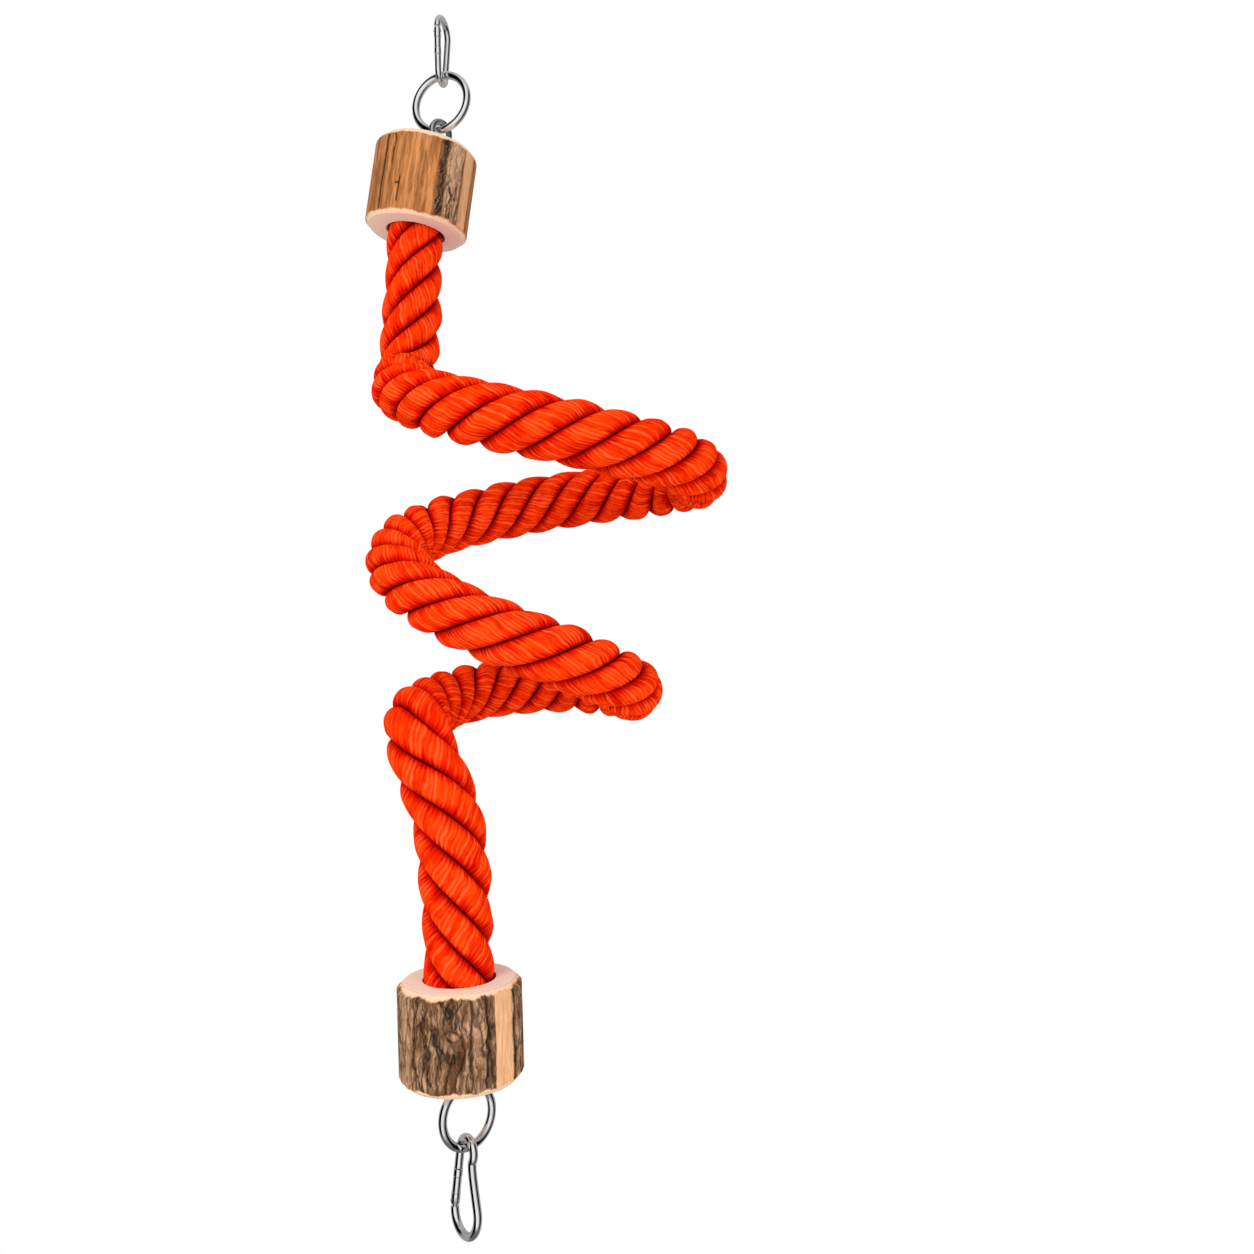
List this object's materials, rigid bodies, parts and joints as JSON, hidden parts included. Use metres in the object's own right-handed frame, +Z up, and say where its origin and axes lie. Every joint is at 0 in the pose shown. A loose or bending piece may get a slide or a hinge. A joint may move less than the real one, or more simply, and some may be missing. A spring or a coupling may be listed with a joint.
{
  "type": "hanging rope perch for pet birds",
  "caption": "Spiral perch of thick twisted rope held between two bark-covered wooden blocks, with a snap hook and ring above to hang it by and a ring and snap hook below.",
  "frame": {"origin": "the hanging point, on the inside of the upper snap hook's wide bow", "axes": "+Z up along the line it hangs by, +X to the right as in the picture, +Y away from the viewer"},
  "size_m": [0.305, 0.2517, 0.9956],
  "materials": {
    "rope": "dyed twisted rope of soft yarn",
    "wood": "sawn ends with the bark left on",
    "plated": "bright nickel plate",
    "spring_steel": "drawn wire",
    "nail": "dark iron nail"
  },
  "bodies": {
    "top_hook": {"top_hook": "plated", "top_gate_pin": "spring_steel"},
    "top_gate": {"top_gate": "plated", "top_gate_spring": "spring_steel"},
    "top_ring": {"top_ring": "plated"},
    "upper": {"top_block": "wood", "top_nail": "nail", "top_eye_bolt": "plated", "top_face_washer": "plated", "top_washer": "plated", "top_nut": "plated", "rope": "rope", "core_wire": "spring_steel"},
    "lower": {"lower_block": "wood", "lower_nail": "nail", "lower_eye_bolt": "plated", "lower_face_washer": "plated", "lower_washer": "plated", "lower_nut": "plated"},
    "lower_ring": {"lower_ring": "plated"},
    "lower_hook": {"lower_hook": "plated", "lower_gate_pin": "spring_steel"},
    "lower_gate": {"lower_gate": "plated", "lower_gate_spring": "spring_steel"}
  },
  "joints": [
    {"name": "top_gate_hinge", "type": "hinge", "parent": "top_hook", "child": "top_gate", "pos_m": [-0.00245, -0.01151, -0.01459], "axis": [0.9781, -0.2079, 0], "range_deg": [0, 22], "stiffness_Nm_per_rad": 0.1, "springref_deg": -22.92},
    {"name": "top_ring_swing", "type": "hinge", "parent": "top_hook", "child": "top_ring", "pos_m": [0, 0, -0.04835], "axis": [0.9397, -0.342, 0], "range_deg": [-35, 35]},
    {"name": "upper_swing", "type": "hinge", "parent": "top_ring", "child": "upper", "pos_m": [0, 0, -0.09785], "axis": [0.9397, -0.342, 0], "range_deg": [-45, 45]},
    {"name": "coil_stretch", "type": "slide", "parent": "upper", "child": "lower", "axis": [0, 0, -1], "range_m": [-0.03, 0.08], "stiffness_N_per_m": 400, "springref_m": -0.00753, "deforming": ["rope", "core_wire"]},
    {"name": "lower_ring_swing", "type": "hinge", "parent": "lower", "child": "lower_ring", "pos_m": [0.04023, -0.0291, -0.88443], "axis": [0.6192, -0.782, -0.0707], "range_deg": [-25, 25]},
    {"name": "lower_hook_swing", "type": "hinge", "parent": "lower_ring", "child": "lower_hook", "pos_m": [0.03998, -0.03008, -0.92409], "axis": [0.7071, 0.7071, 0], "range_deg": [-70, 70]},
    {"name": "lower_gate_hinge", "type": "hinge", "parent": "lower_hook", "child": "lower_gate", "pos_m": [0.03, -0.0173, -0.96584], "axis": [0.788, 0.6157, 0], "range_deg": [0, 22], "stiffness_Nm_per_rad": 0.1, "springref_deg": -22.92}
  ]
}
